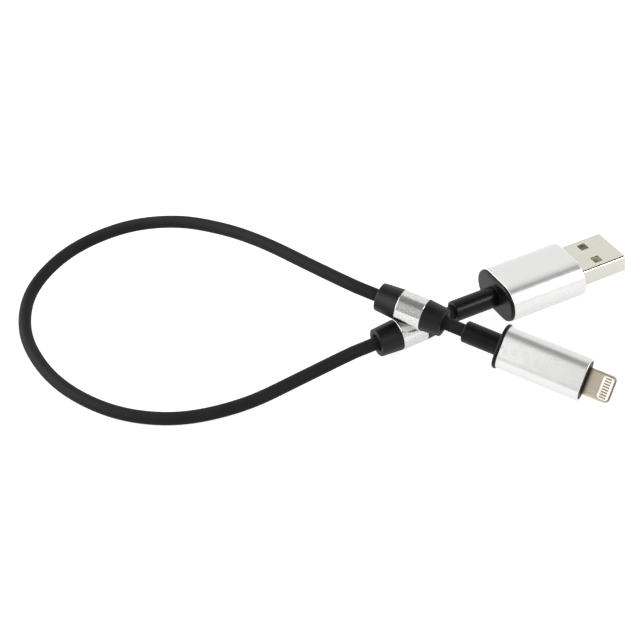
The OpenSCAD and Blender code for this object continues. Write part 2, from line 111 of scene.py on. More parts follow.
AT_HOST = Matrix.Identity(4)
HOST_MOUTH = extent("host_plug_end_cap", AT_HOST)[0].x
FLOOR = extent("host_plug_sleeve", AT_HOST)[0].z

# The lower line runs from the host plug's mouth through its collar
LOWER_START = Vector((HOST_MOUTH, 0, 0)) * MM
LOWER_CENTRE = centre("lower_collar_band")
LOWER_WAY = (LOWER_START - LOWER_CENTRE).normalized()
AT_LOWER = turn(along(LOWER_WAY), LOWER_CENTRE)

# The upper line runs from the phone plug's sleeve through its collar
UPPER_CENTRE = centre("upper_collar_band")
UPPER_WAY = (centre("phone_plug_sleeve") - UPPER_CENTRE).normalized()
AT_UPPER = turn(along(UPPER_WAY, PHONE_ROLL), UPPER_CENTRE)
PHONE_MIDDLE = turn(along(UPPER_WAY, PHONE_ROLL), centre("phone_plug_sleeve"))
PHONE_FRONT = extent("phone_plug_sleeve", PHONE_MIDDLE)[1].x
PHONE_PLACE = PHONE_MIDDLE @ Vector((PHONE_FRONT * MM, 0, 0))
AT_PHONE = turn(along(UPPER_WAY, PHONE_ROLL), PHONE_PLACE)
PHONE_MOUTH = extent("phone_plug_end_cap", AT_PHONE)[0].x

# Where the cord ends inside the two plugs
HOST_CORD_END = extent("host_plug_crimp", AT_HOST)[1].x + CORD_STUB
PHONE_CORD_END = extent("phone_plug_crimp", AT_PHONE)[1].x + CORD_STUB


def lower_point(s):
    """Point on the lower line, s millimetres behind the host plug's mouth."""
    return LOWER_START - LOWER_WAY * s * MM


def upper_point(s):
    """Point on the phone plug's line, s millimetres behind its mouth."""
    return PHONE_PLACE + UPPER_WAY * (PHONE_MOUTH - s) * MM


def straight(start, where, place):
    """Length of the straight cord from a plug's mouth, past its collar."""
    cap_end = extent(f"{where}_collar_rear_cap", place)[0].x
    return (start - place.translation).length / MM - cap_end + RUN_OUT


LOWER_STRAIGHT = straight(LOWER_START, "lower", AT_LOWER)
UPPER_STRAIGHT = straight(upper_point(0), "upper", AT_UPPER)


# ---------------------------------------------------------------- sizes


class CordSettings(bpy.types.PropertyGroup):
    """Sizes and colour of the cord"""

    diameter: FloatProperty(
        name="Diameter", description="Diameter of the cord",
        default=3.2 * MM, min=0.001, max=0.006, subtype="DISTANCE", unit="LENGTH")
    sides: IntProperty(
        name="Sides", description="Faces round the cord", default=24, min=8, max=64)
    colour: FloatVectorProperty(
        name="Colour", description="Colour of the cord's jacket",
        subtype="COLOR", size=3, min=0, max=1, default=(0.0095, 0.0095, 0.0097))


class MetalSettings(bpy.types.PropertyGroup):
    """Colours of the metals and sizes of their edges"""

    aluminium: FloatVectorProperty(
        name="Aluminium", description="Colour of the sleeves and bands",
        subtype="COLOR", size=3, min=0, max=1, default=(0.668, 0.67, 0.663))
    plated: FloatVectorProperty(
        name="Plated steel", description="Colour of the host plug's shell",
        subtype="COLOR", size=3, min=0, max=1, default=(0.59, 0.578, 0.52))
    tab: FloatVectorProperty(
        name="Tab", description="Colour of the phone plug's tab",
        subtype="COLOR", size=3, min=0, max=1, default=(0.525, 0.465, 0.38))
    gilt: FloatVectorProperty(
        name="Gilding", description="Colour of the contacts",
        subtype="COLOR", size=3, min=0, max=1, default=(0.36, 0.255, 0.15))
    rim: FloatProperty(
        name="Rim bevel", description="Width of the bright bevel on the metal rims",
        default=0.14 * MM, min=0.00005, max=0.0005, subtype="DISTANCE", unit="LENGTH")
    front_edge: FloatProperty(
        name="Front edge", description="Rounding of the host sleeve's front edge",
        default=0.6 * MM, min=0.0001, max=0.0007, subtype="DISTANCE", unit="LENGTH")
    rear_edge: FloatProperty(
        name="Other edges", description="Rounding of the sleeves' other edges",
        default=0.18 * MM, min=0.00005, max=0.0003, subtype="DISTANCE", unit="LENGTH")
    wall: FloatProperty(
        name="Sheet", description="Thickness of the host shell's sheet",
        default=0.3 * MM, min=0.0001, max=0.0005, subtype="DISTANCE", unit="LENGTH")


class RubberSettings(bpy.types.PropertyGroup):
    """Sizes and colours of the soft black pieces, colours of the plastics"""

    tube: FloatProperty(
        name="Strain relief", description="Radius of the strain relief tubes",
        default=2.65 * MM, min=0.002, max=0.003, subtype="DISTANCE", unit="LENGTH")
    bore: FloatProperty(
        name="Bore", description="Radius of the bores round the cord",
        default=1.68 * MM, min=0.0016, max=0.002, subtype="DISTANCE", unit="LENGTH")
    edge: FloatProperty(
        name="Edge", description="Rounding of the tubes' end edges",
        default=0.35 * MM, min=0.0001, max=0.0006, subtype="DISTANCE", unit="LENGTH")
    black: FloatVectorProperty(
        name="Black rubber", description="Colour of the end caps and collar caps",
        subtype="COLOR", size=3, min=0, max=1, default=(0.0025, 0.0026, 0.0024))
    plastic: FloatVectorProperty(
        name="Black plastic", description="Colour of the cores and the mouth plate",
        subtype="COLOR", size=3, min=0, max=1, default=(0.006, 0.006, 0.006))
    white: FloatVectorProperty(
        name="White plastic", description="Colour of the contact field",
        subtype="COLOR", size=3, min=0, max=1, default=(0.575, 0.57, 0.535))


class StageSettings(bpy.types.PropertyGroup):
    """Floor, light and camera"""

    floor: FloatVectorProperty(
        name="Floor", description="Colour of the floor",
        subtype="COLOR", size=3, min=0, max=1, default=(0.25, 0.25, 0.248))
    glow: FloatProperty(
        name="Glow", description="Light that the floor gives off from below",
        default=0.86, min=0, max=2)
    brightness: FloatProperty(
        name="Brightness", description="Strength of the studio's light",
        default=1.2, min=0.1, max=5.0)
    lens: FloatProperty(
        name="Lens", description="Focal length of the camera in millimetres",
        default=112.5, min=20, max=300)


class CableSettings(bpy.types.PropertyGroup):
    """All settings of the charging cable"""

    cord: PointerProperty(type=CordSettings)
    metal: PointerProperty(type=MetalSettings)
    rubber: PointerProperty(type=RubberSettings)
    stage: PointerProperty(type=StageSettings)


# ---------------------------------------------------------------- meshes

# Angles from which an edge counts as sharp, in degrees: on metal, on rubber
# and on the cord
SHARP = 32.0
BLUNT = 40.0
ROUND = 60.0
# Angle from which an edge of a cut sheet is bevelled, in degrees
CORNER = 40.0
# How close doubled points lie and how short a stray edge is, in metres
DOUBLED = 2e-7
STRAY = 1e-8


def section(x, half, radius, steps=14):
    """Closed section across X: two half circles joined by straights."""
    points = []
    for side in (1, -1):
        for i in range(2 * steps + 1):
            a = side * (math.pi / 2 - math.pi * i / (2 * steps))
            points.append(Vector((
                x, side * (half + radius * math.cos(a)), radius * math.sin(a))))
    return points


def corner_arc(x, r, size, start, stop, steps):
    """Rounded corner of a profile as (x, radius) pairs."""
    pairs = []
    for i in range(steps + 1):
        a = math.radians(start + (stop - start) * i / steps)
        pairs.append((x + size * math.cos(a), r + size * math.sin(a)))
    return pairs


def loft(rings):
    """Hollow mesh through rings of equal length, the last joined to the first."""
    bm = bmesh.new()
    rows = [[bm.verts.new(p * MM) for p in ring] for ring in rings]
    count = len(rows[0])
    for a, b in zip(rows, rows[1:] + rows[:1]):
        for k in range(count):
            bm.faces.new((a[k], b[k], b[(k + 1) % count], a[(k + 1) % count]))
    tidy(bm)
    return bm


def tidy(bm):
    """Joins doubled points and turns all faces outwards."""
    bmesh.ops.remove_doubles(bm, verts=bm.verts, dist=DOUBLED)
    bmesh.ops.dissolve_degenerate(bm, edges=bm.edges, dist=STRAY)
    bmesh.ops.recalc_face_normals(bm, faces=bm.faces)


def own_place(mesh, place):
    """Keeps each point's place in the piece's own frame, for its finish."""
    back = place.inverted()
    kept = mesh.attributes.get("own_place")
    if kept is None:
        kept = mesh.attributes.new("own_place", "FLOAT_VECTOR", "POINT")
    for point, value in zip(mesh.vertices, kept.data):
        value.vector = back @ point.co


def soften(bm, sharp):
    """Smooth shading except at edges sharper than an angle in degrees."""
    for face in bm.faces:
        face.smooth = True
    for edge in bm.edges:
        if len(edge.link_faces) == 2:
            edge.smooth = edge.calc_face_angle(0.0) < math.radians(sharp)


def settle(piece, place):
    """Applies a piece's modifiers and lets its large faces stay flat-shaded."""
    weights = piece.modifiers.new("weights", "WEIGHTED_NORMAL")
    weights.keep_sharp = True
    bpy.context.view_layer.update()
    dg = bpy.context.evaluated_depsgraph_get()
    piece.data = bpy.data.meshes.new_from_object(piece.evaluated_get(dg))
    piece.modifiers.clear()
    own_place(piece.data, place)


def make_piece(name, bm, place, body, material, sharp=SHARP):
    """New object from a mesh in its own frame, set in place on its body."""
    soften(bm, sharp)
    bm.transform(place)
    mesh = bpy.data.meshes.new(name)
    bm.to_mesh(mesh)
    bm.free()
    mesh.materials.append(material)
    piece = bpy.data.objects.new(name, mesh)
    bpy.context.scene.collection.objects.link(piece)
    settle(piece, place)
    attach(piece, body)
    return piece


def box_mesh(bm, low, high):
    """Adds a box between two corners, in millimetres."""
    low, high = Vector(low), Vector(high)
    size = (high - low) * MM
    place = Matrix.Translation((low + high) / 2 * MM)
    scale = Matrix.Diagonal((*size, 1.0))
    bmesh.ops.create_cube(bm, size=1.0, matrix=place @ scale)


def rounded_outline(width, height, radius, steps=6):
    """Outline of a rectangle with round corners, as (a, b) pairs."""
    pairs = []
    for i, (sa, sb) in enumerate(((1, 1), (-1, 1), (-1, -1), (1, -1))):
        for k in range(steps + 1):
            a = math.radians(90 * i + 90 * k / steps)
            pairs.append((sa * (width / 2 - radius) + radius * math.cos(a),
                          sb * (height / 2 - radius) + radius * math.sin(a)))
    return pairs


def cut_and_bevel(piece, cutters, bevel):
    """Cuts other meshes out of a piece and rounds its sharp edges."""
    tools = []
    for i, bm in enumerate(cutters):
        mesh = bpy.data.meshes.new(f"{piece.name}_cut_{i}")
        bm.to_mesh(mesh)
        bm.free()
        tool = bpy.data.objects.new(mesh.name, mesh)
        bpy.context.scene.collection.objects.link(tool)
        tools.append(tool)
        cut = piece.modifiers.new(mesh.name, "BOOLEAN")
        cut.operation, cut.solver, cut.object = "DIFFERENCE", "EXACT", tool
    bpy.context.view_layer.update()
    dg = bpy.context.evaluated_depsgraph_get()
    done = bpy.data.meshes.new_from_object(piece.evaluated_get(dg))
    piece.modifiers.clear()
    for tool in tools:
        bpy.data.objects.remove(tool)
    bm = bmesh.new()
    bm.from_mesh(done)
    bmesh.ops.remove_doubles(bm, verts=bm.verts, dist=DOUBLED / 2)
    corner = math.radians(CORNER)
    edges = [e for e in bm.edges
             if len(e.link_faces) == 2 and e.calc_face_angle(0) > corner]
    bmesh.ops.bevel(bm, geom=edges, offset=bevel * MM, segments=2,
                    profile=0.6, affect="EDGES", clamp_overlap=True)
    soften(bm, SHARP)
    bm.to_mesh(done)
    bm.free()
    piece.data = done
    settle(piece, AT_HOST)


# ---------------------------------------------------------------- finishes


def socket(tree, way, kind, name, default=None):
    """Adds a named input or output to a node group."""
    made = tree.interface.new_socket(name=name, in_out=way, socket_type=kind)
    if default is not None:
        made.default_value = default
    return made


def node(tree, kind, **inputs):
    """New shader node; keywords with a leading underscore set attributes."""
    made = tree.nodes.new(kind)
    for key, value in inputs.items():
        if key.startswith("_"):
            setattr(made, key[1:], value)
    for key, value in inputs.items():
        if not key.startswith("_"):
            made.inputs[key.replace("_", " ")].default_value = value
    return made


def link(tree, a, out, b, into):
    """Joins an output of one node to an input of another."""
    tree.links.new(a.outputs[out], b.inputs[into])


def maths(tree, kind, operation, *terms, **options):
    """Maths node; a term is a value, an output, or a node and its output."""
    made = node(tree, "ShaderNode" + kind, _operation=operation, **options)
    for term, into in zip(terms, made.inputs):
        if isinstance(term, tuple):
            term = term[0].outputs[term[1]]
        if isinstance(term, bpy.types.NodeSocket):
            tree.links.new(term, into)
        else:
            into.default_value = term
    return made


def ramp(tree, source, out, **ends):
    """Maps a value from one range to another and stops at its ends."""
    made = node(tree, "ShaderNodeMapRange", **ends)
    link(tree, source, out, made, "Value")
    return made


def grain_group():
    """Fine grain drawn out along X, with a slower blotch over it."""
    name = "drawn grain"
    if name in bpy.data.node_groups:
        return bpy.data.node_groups[name]
    tree = bpy.data.node_groups.new(name, "ShaderNodeTree")
    socket(tree, "INPUT", "NodeSocketVector", "Place")
    socket(tree, "INPUT", "NodeSocketFloat", "Grain scale", 6000.0)
    socket(tree, "INPUT", "NodeSocketVector", "Stretch", (0.1, 1.0, 1.0))
    socket(tree, "INPUT", "NodeSocketFloat", "Blotch scale", 700.0)
    socket(tree, "OUTPUT", "NodeSocketFloat", "Grain")
    socket(tree, "OUTPUT", "NodeSocketFloat", "Blotch")
    enter = tree.nodes.new("NodeGroupInput")
    leave = tree.nodes.new("NodeGroupOutput")
    stretch = maths(tree, "VectorMath", "MULTIPLY", (enter, "Place"),
                    (enter, "Stretch"))
    grain = node(tree, "ShaderNodeTexNoise", Detail=3.0, Roughness=0.6)
    link(tree, stretch, "Vector", grain, "Vector")
    link(tree, enter, "Grain scale", grain, "Scale")
    blotch = node(tree, "ShaderNodeTexNoise", Detail=2.0, Roughness=0.5)
    link(tree, enter, "Place", blotch, "Vector")
    link(tree, enter, "Blotch scale", blotch, "Scale")
    link(tree, grain, "Fac", leave, "Grain")
    link(tree, blotch, "Fac", leave, "Blotch")
    return tree


def wear_group():
    """Mask that is 1 on worn outer edges and 0 elsewhere."""
    name = "edge wear"
    if name in bpy.data.node_groups:
        return bpy.data.node_groups[name]
    tree = bpy.data.node_groups.new(name, "ShaderNodeTree")
    socket(tree, "INPUT", "NodeSocketVector", "Place")
    socket(tree, "INPUT", "NodeSocketFloat", "Breakup scale", 1500.0)
    socket(tree, "INPUT", "NodeSocketFloat", "Amount", 1.0)
    socket(tree, "OUTPUT", "NodeSocketFloat", "Mask")
    enter = tree.nodes.new("NodeGroupInput")
    leave = tree.nodes.new("NodeGroupOutput")
    shape = node(tree, "ShaderNodeNewGeometry")
    edge = ramp(tree, shape, "Pointiness", From_Min=0.52, From_Max=0.62)
    breakup = node(tree, "ShaderNodeTexNoise", Detail=3.0)
    link(tree, enter, "Place", breakup, "Vector")
    link(tree, enter, "Breakup scale", breakup, "Scale")
    rough = ramp(tree, breakup, "Fac", From_Min=0.35, From_Max=0.65)
    both = maths(tree, "Math", "MULTIPLY", (edge, "Result"), (rough, "Result"))
    amount = maths(tree, "Math", "MULTIPLY", (both, "Value"), (enter, "Amount"),
                   _use_clamp=True)
    link(tree, amount, "Value", leave, "Mask")
    return tree


def use_group(tree, group, place, **values):
    """Places a node group, fed with a place, with its own values."""
    made = tree.nodes.new("ShaderNodeGroup")
    made.node_tree = group
    tree.links.new(place, made.inputs["Place"])
    for key, value in values.items():
        made.inputs[key.replace("_", " ")].default_value = value
    return made


def new_finish(name, colour, metallic, own, coat=0.0, specular=0.5):
    """Material with its constant sockets set, its shader and its place.

    The place is each point's place in the piece's own frame, or, on a CAD
    piece that stays in view, its place in the whole object."""
    material = bpy.data.materials.new(name)
    material.use_nodes = True
    tree = material.node_tree
    shader = next(n for n in tree.nodes if n.type == "BSDF_PRINCIPLED")
    shader.inputs["Base Color"].default_value = (*colour, 1)
    shader.inputs["Metallic"].default_value = metallic
    shader.inputs["Specular IOR Level"].default_value = specular
    shader.inputs["Coat Weight"].default_value = coat
    shader.inputs["Coat Roughness"].default_value = 0.3
    material.diffuse_color = (*colour, 1)
    if own:
        place = node(tree, "ShaderNodeAttribute", _attribute_name="own_place")
        return material, tree, shader, place.outputs["Vector"]
    place = node(tree, "ShaderNodeTexCoord")
    return material, tree, shader, place.outputs["Object"]


def spread(tree, source, out, low, high):
    """Maps a noise value to a range of values."""
    return ramp(tree, source, out, From_Min=0.3, From_Max=0.7, To_Min=low,
                To_Max=high)


def metal_gloss(tree, shader, grain, roughness):
    """Roughness of a metal, a little uneven over its blotches."""
    rough = spread(tree, grain, "Blotch", roughness - 0.01, roughness + 0.02)
    link(tree, rough, "Result", shader, "Roughness")


def tint(tree, source, out, dark, light):
    """Mixes two colours by a value."""
    made = node(tree, "ShaderNodeMix", _data_type="RGBA")
    link(tree, source, out, made, 0)
    made.inputs[6].default_value = (*dark, 1)
    made.inputs[7].default_value = (*light, 1)
    return made


def cover(tree, base, source, out, colour):
    """Lays a colour over a mixed colour, as far as a mask says."""
    made = tint(tree, source, out, colour, colour)
    link(tree, base, 2, made, 6)
    return made


def bump(tree, shader, source, out, strength, distance, after=None):
    """Adds a bump from a height value to a shader's normal."""
    made = node(tree, "ShaderNodeBump", Strength=strength, Distance=distance)
    link(tree, source, out, made, "Height")
    if after is not None:
        link(tree, after, "Normal", made, "Normal")
    link(tree, made, "Normal", shader, "Normal")
    return made


def shade(colour, factor):
    """Colour made lighter or darker, kept in range."""
    return tuple(min(1.0, c * factor) for c in colour)


def worn(tree, shader, base, place, rim_colour, scale, amount):
    """Base colour with lighter, broken-up wear on the outer edges."""
    wear = use_group(tree, wear_group(), place, Breakup_scale=scale, Amount=amount)
    rim = cover(tree, base, wear, "Mask", rim_colour)
    link(tree, rim, 2, shader, "Base Color")


def aluminium_finish(name, colour, stretch, roughness, relief, speckle,
                     scale=4200.0, depth=0.00003):
    """Blasted or turned aluminium: speckled grain, slow waves, worn rims.

    The stretch draws the grain out; relief is the bumps' strength, and scale
    and depth are the grain's own."""
    material, tree, shader, place = new_finish(name, colour, 1.0, True)
    grain = use_group(tree, grain_group(), place, Grain_scale=scale,
                      Stretch=stretch, Blotch_scale=700.0)
    base = tint(tree, grain, "Grain", shade(colour, 1 - speckle),
                shade(colour, 1 + speckle))
    worn(tree, shader, base, place, shade(colour, 1.12), 900.0, 0.8)
    metal_gloss(tree, shader, grain, roughness)
    fine = bump(tree, shader, grain, "Grain", relief, depth)
    bump(tree, shader, grain, "Blotch", relief, 0.00004, after=fine)
    return material


# Plated metal: how dark and light its blotches are, and the strength and the
# depth in metres of its rolling marks
PLATE_TONES = (0.985, 1.015)
PLATE_MARKS = (0.05, 0.000003)


def plate_tones(tree, grain, colour):
    """Colour of plated metal, a little uneven over its blotches."""
    dark, light = (shade(colour, tone) for tone in PLATE_TONES)
    return tint(tree, grain, "Blotch", dark, light)


def painted_fold_reflection(tree, base, colour):
    """Base colour with a painted dark reflection along the folds of a bent sheet.

    The line lies where the sheet leans between level and upright."""
    leaning, reach = 0.84, 0.15
    shape = node(tree, "ShaderNodeNewGeometry")
    level = node(tree, "ShaderNodeSeparateXYZ")
    link(tree, shape, "Normal", level, 0)
    upright = maths(tree, "Math", "ABSOLUTE", (level, "Z"))
    line = maths(tree, "Math", "COMPARE", (upright, "Value"), leaning, reach)
    return cover(tree, base, line, "Value", colour)


def plated_finish(name, colour, roughness, own=False, fold_reflection_colour=None):
    """Nickel plated sheet with rolling marks and brighter edges."""
    material, tree, shader, place = new_finish(name, colour, 1.0, own)
    grain = use_group(tree, grain_group(), place, Grain_scale=3500.0,
                      Stretch=(0.06, 1.0, 1.0), Blotch_scale=180.0)
    base = plate_tones(tree, grain, colour)
    # Painted dark reflection along the folds, where a colour for it is given
    if fold_reflection_colour is not None:
        base = painted_fold_reflection(tree, base, fold_reflection_colour)
    worn(tree, shader, base, place, shade(colour, 1.08), 1200.0, 0.3)
    metal_gloss(tree, shader, grain, roughness)
    bump(tree, shader, grain, "Grain", *PLATE_MARKS)
    return material


def tab_finish(name, colour, roughness):
    """Plated tab with painted shade at the sleeve's mouth and a painted dark
    reflection on the edge of its tip.
    """
    # Where the painted shade at the mouth starts to fade and where it ends
    mouth_shade_fades, clear = 0.35 * MM, 1.0 * MM
    material, tree, shader, place = new_finish(name, colour, 1.0, False)
    grain = use_group(tree, grain_group(), place, Grain_scale=3500.0,
                      Stretch=(1.0, 1.0, 1.0), Blotch_scale=400.0)
    base = plate_tones(tree, grain, colour)
    depth = maths(tree, "VectorMath", "DOT_PRODUCT", place, UPPER_WAY)
    start = PHONE_PLACE.dot(UPPER_WAY)
    mouth_shade = ramp(tree, depth, "Value", From_Min=start + mouth_shade_fades,
                 From_Max=start + clear, To_Min=1.0, To_Max=0.0)
    # Painted dark reflection on the edge of the tip, where the surface faces forward
    shape = node(tree, "ShaderNodeNewGeometry")
    ahead = maths(tree, "VectorMath", "DOT_PRODUCT", (shape, "Normal"), UPPER_WAY)
    tip = ramp(tree, ahead, "Value", From_Min=0.3, From_Max=0.75, To_Max=0.95)
    dark = maths(tree, "Math", "MAXIMUM", (mouth_shade, "Result"), (tip, "Result"))
    # Lays the painted shade and painted reflection over the plated colour
    mixed = cover(tree, base, dark, "Value", shade(colour, 0.16))
    link(tree, mixed, 2, shader, "Base Color")
    metal_gloss(tree, shader, grain, roughness)
    bump(tree, shader, grain, "Grain", *PLATE_MARKS)
    return material


def moulded_finish(name, colour, roughness, own=False, coat=0.0, specular=0.5,
                   scale=2500.0, depth=0.00001, dull=0.3):
    """Moulded rubber or plastic: fine skin, slow gloss changes, dull edges."""
    material, tree, shader, place = new_finish(name, colour, 0.0, own, coat=coat,
                                               specular=specular)
    grain = use_group(tree, grain_group(), place, Grain_scale=scale,
                      Stretch=(1.0, 1.0, 1.0), Blotch_scale=260.0)
    base = tint(tree, grain, "Blotch", shade(colour, 0.8), shade(colour, 1.25))
    lighter = [c + 0.01 for c in shade(colour, 1.5)]
    worn(tree, shader, base, place, lighter, 1800.0, 0.7)
    rough = spread(tree, grain, "Blotch", roughness - 0.04, roughness + 0.04)
    facing = node(tree, "ShaderNodeLayerWeight", Blend=0.5)
    duller = ramp(tree, facing, "Facing", From_Min=0.55, From_Max=0.97,
                  To_Min=0.0, To_Max=dull)
    total = maths(tree, "Math", "ADD", (rough, "Result"), (duller, "Result"),
                  _use_clamp=True)
    link(tree, total, "Value", shader, "Roughness")
    bump(tree, shader, grain, "Grain", 0.35, depth)
    return material


def gilt_finish(name, colour):
    """Thin gilding over nickel, slightly rubbed."""
    material, tree, shader, place = new_finish(name, colour, 1.0, False)
    grain = use_group(tree, grain_group(), place, Grain_scale=4000.0,
                      Stretch=(1.0, 1.0, 1.0), Blotch_scale=1500.0)
    base = tint(tree, grain, "Blotch", shade(colour, 0.9), shade(colour, 1.06))
    link(tree, base, 2, shader, "Base Color")
    rough = spread(tree, grain, "Grain", 0.22, 0.36)
    link(tree, rough, "Result", shader, "Roughness")
    bump(tree, shader, grain, "Grain", 0.2, 0.000004)
    return material


def finish(key):
    """The named finish, made once from the settings."""
    if key in bpy.data.materials:
        return bpy.data.materials[key]
    settings = bpy.context.scene.charging_cable
    metal, rubber = settings.metal, settings.rubber
    makers = {
        "blasted aluminium": lambda n: aluminium_finish(
            n, metal.aluminium, (0.5, 1.0, 1.0), 0.29, 0.5, 0.2),
        "turned aluminium": lambda n: aluminium_finish(
            n, shade(metal.aluminium, 0.94), (1.0, 1.0, 1.0), 0.11, 0.25, 0.4,
            scale=2600.0, depth=0.00005),
        # The shell's sheet gets a painted dark reflection along its folds
        "plated sheet": lambda n: plated_finish(
            n, metal.plated, 0.09, own=True, fold_reflection_colour=(0.02, 0.016, 0.012)),
        "plated tab": lambda n: tab_finish(n, metal.tab, 0.26),
        "gilded contact": lambda n: gilt_finish(n, metal.gilt),
        "gilded strip": lambda n: gilt_finish(n, (0.82, 0.74, 0.46)),
        "black rubber": lambda n: moulded_finish(
            n, rubber.black, 0.21, own=True, specular=0.15, dull=0.79),
        "collar rubber": lambda n: moulded_finish(
            n, rubber.black, 0.33, own=True, specular=0.22, dull=0.67),
        "cord jacket": lambda n: moulded_finish(
            n, settings.cord.colour, 0.54, own=True, specular=0.05, scale=3200.0,
            depth=0.00002, dull=0.35),
        "black plastic": lambda n: moulded_finish(n, rubber.plastic, 0.4),
        "tongue plastic": lambda n: moulded_finish(n, (0.95, 0.93, 0.80), 0.4),
        "white plastic": lambda n: moulded_finish(
            n, rubber.white, 0.35, scale=1800.0, depth=0.000004),
        "green board": lambda n: moulded_finish(
            n, (0.02, 0.16, 0.06), 0.35, coat=0.3, scale=1200.0),
        "wire insulation": lambda n: moulded_finish(n, (0.4, 0.05, 0.04), 0.4),
        "crimped tin": lambda n: plated_finish(n, (0.72, 0.72, 0.70), 0.35),
        "magnet plating": lambda n: plated_finish(n, (0.66, 0.66, 0.67), 0.2),
    }
    return makers[key](key)


def dress(cad_node, key):
    """Gives a CAD node that stays in view its finish."""
    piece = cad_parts[cad_node]
    piece.data.materials.clear()
    piece.data.materials.append(finish(key))


# ---------------------------------------------------------------- pieces


class CABLE_OT_cord(bpy.types.Operator):
    """Black cord from one plug to the other, in its loop"""

    bl_idname = "charging_cable.cord"
    bl_label = "Cord"

    def route(self):
        """Points of the whole route, close together."""
        lower, upper = LOWER_STRAIGHT, UPPER_STRAIGHT
        controls = [lower_point(lower - LOOK_BACK), lower_point(lower)]
        controls += [Vector(p) * MM for p in LOOP_POINTS]
        controls += [upper_point(upper), upper_point(upper - LOOK_BACK)]
        line = []
        for a, b, c, d in zip(controls, controls[1:], controls[2:], controls[3:]):
            for k in range(LOOP_STEPS):
                t = k / LOOP_STEPS
                line.append((2 * b + (c - a) * t + (2 * a - 5 * b + 4 * c - d) * t * t
                             + (3 * b - a - 3 * c + d) * t ** 3) / 2)
        line.append(controls[-2])
        for _ in range(SMOOTHING):
            line = [line[0]] + [
                (p + 2 * q + r) / 4 for p, q, r in zip(line, line[1:], line[2:])
            ] + [line[-1]]
        start = [Vector((x * MM, 0, 0))
                 for x in (HOST_CORD_END, HOST_CORD_END - CORD_TAIL)]
        start += [lower_point(lower * k / STRAIGHT_STEPS)
                  for k in range(STRAIGHT_STEPS)]
        end = [upper_point(upper * k / STRAIGHT_STEPS)
               for k in reversed(range(STRAIGHT_STEPS))]
        end += [AT_PHONE @ Vector((x * MM, 0, 0))
                for x in (PHONE_CORD_END - CORD_TAIL, PHONE_CORD_END)]
        return start + line + end

    def execute(self, context):
        settings = context.scene.charging_cable.cord
        line = self.route()
        radius, sides = settings.diameter / 2, settings.sides
        bm = bmesh.new()
        rows, side = [], Vector((0, 0, 1))
        for i, point in enumerate(line):
            after, before = line[min(i + 1, len(line) - 1)], line[max(i - 1, 0)]
            ahead = (after - before).normalized()
            side = (side - ahead * side.dot(ahead)).normalized()
            across = ahead.cross(side)
            rows.append([bm.verts.new(point + radius * (
                math.cos(2 * math.pi * k / sides) * side
                + math.sin(2 * math.pi * k / sides) * across))
                for k in range(sides)])
        for a, b in zip(rows, rows[1:]):
            for k in range(sides):
                bm.faces.new((a[k], a[(k + 1) % sides], b[(k + 1) % sides], b[k]))
        bm.faces.new(rows[0][::-1])
        bm.faces.new(rows[-1])
        tidy(bm)
        cord = make_piece("cord_tube", bm, AT_HOST, "cable",
                          finish("cord jacket"), sharp=ROUND)
        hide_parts("cord")
        return {"FINISHED"}


def make_sleeve(name, cad_node, core_node, place, front_edge):
    """Flat-sided sleeve with its hole, as long and wide as its CAD piece."""
    edge = bpy.context.scene.charging_cable.metal.rear_edge / MM
    low, high = extent(cad_node, place)
    rear, front, radius = low.x, high.x, high.z
    half = high.y - radius
    hole = extent(core_node, place)[1].z + SEAT
    outer = corner_arc(rear + edge / 2, radius - edge / 2, edge / 2, 180, 90, 4)
    outer += corner_arc(front - front_edge, radius - front_edge, front_edge, 90, 0, 8)
    inner = [(front - SEAT, hole), (rear, hole)]
    rings = [section(x, half, r) for x, r in outer + inner]
    piece = make_piece(name, loft(rings), place, "cable",
                       finish("blasted aluminium"))
    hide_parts(cad_node)


class CABLE_OT_host_sleeve(bpy.types.Operator):
    """Flat satin sleeve of the host plug, with a round front edge"""

    bl_idname = "charging_cable.host_sleeve"
    bl_label = "Host plug sleeve"

    def execute(self, context):
        edge = context.scene.charging_cable.metal.front_edge / MM
        make_sleeve("host_sleeve", "host_plug_sleeve", "host_plug_core", AT_HOST, edge)
        return {"FINISHED"}


class CABLE_OT_end_caps(bpy.types.Operator):
    """Black end caps with their strain relief tubes"""

    bl_idname = "charging_cable.end_caps"
    bl_label = "End caps"

    # Small fillets of the flange, and the countersink of the tube's mouth:
    # how far in and how wide it starts, and where it meets the bore
    fillet = 0.1
    sink_start, sink_width, sink_end = 0.05, 0.25, 0.5

    def cap(self, name, place, cad_node, sleeve_node, core_node, thick, edge):
        """One end cap: spigot, flange, then a round tube with a rounded rim.

        The flange's thickness and the rounding of its edge are in
        millimetres."""
        rubber = bpy.context.scene.charging_cable.rubber
        tube, bore, round_end = (
            v / MM for v in (rubber.tube, rubber.bore, rubber.edge))
        fillet = self.fillet
        low, high = extent(cad_node, place)
        mouth, spigot, radius = low.x, high.x, high.z
        half = high.y - radius
        rear = extent(sleeve_node, place)[0].x
        inner = extent(core_node, place)[1].z
        flange = [(spigot, inner), (rear, inner)]
        flange += corner_arc(rear - fillet, radius - fillet, fillet, 0, 90, 2)
        flange += corner_arc(rear - thick + edge, radius - edge, edge, 90, 180, 8)
        rings = [section(x, half, q) for x, q in flange]
        foot = corner_arc(rear - thick - fillet, tube + fillet, fillet, 0, -90, 5)
        rim = corner_arc(mouth + round_end, tube - round_end, round_end, 90, 180, 5)
        lip = [(mouth + self.sink_start, bore + self.sink_width),
               (mouth + self.sink_end, bore)]
        rings += [section(x, 0, q) for x, q in foot + rim + lip]
        rings += [section(spigot, 0, bore)]
        piece = make_piece(name, loft(rings), place, "cable",
                           finish("black rubber"), sharp=BLUNT)
        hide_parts(cad_node)

    def execute(self, context):
        self.cap("host_cap", AT_HOST, "host_plug_end_cap", "host_plug_sleeve",
                 "host_plug_core", thick=0.8, edge=0.55)
        self.cap("phone_cap", AT_PHONE, "phone_plug_end_cap", "phone_plug_sleeve",
                 "phone_plug_core", thick=0.9, edge=0.35)
        return {"FINISHED"}


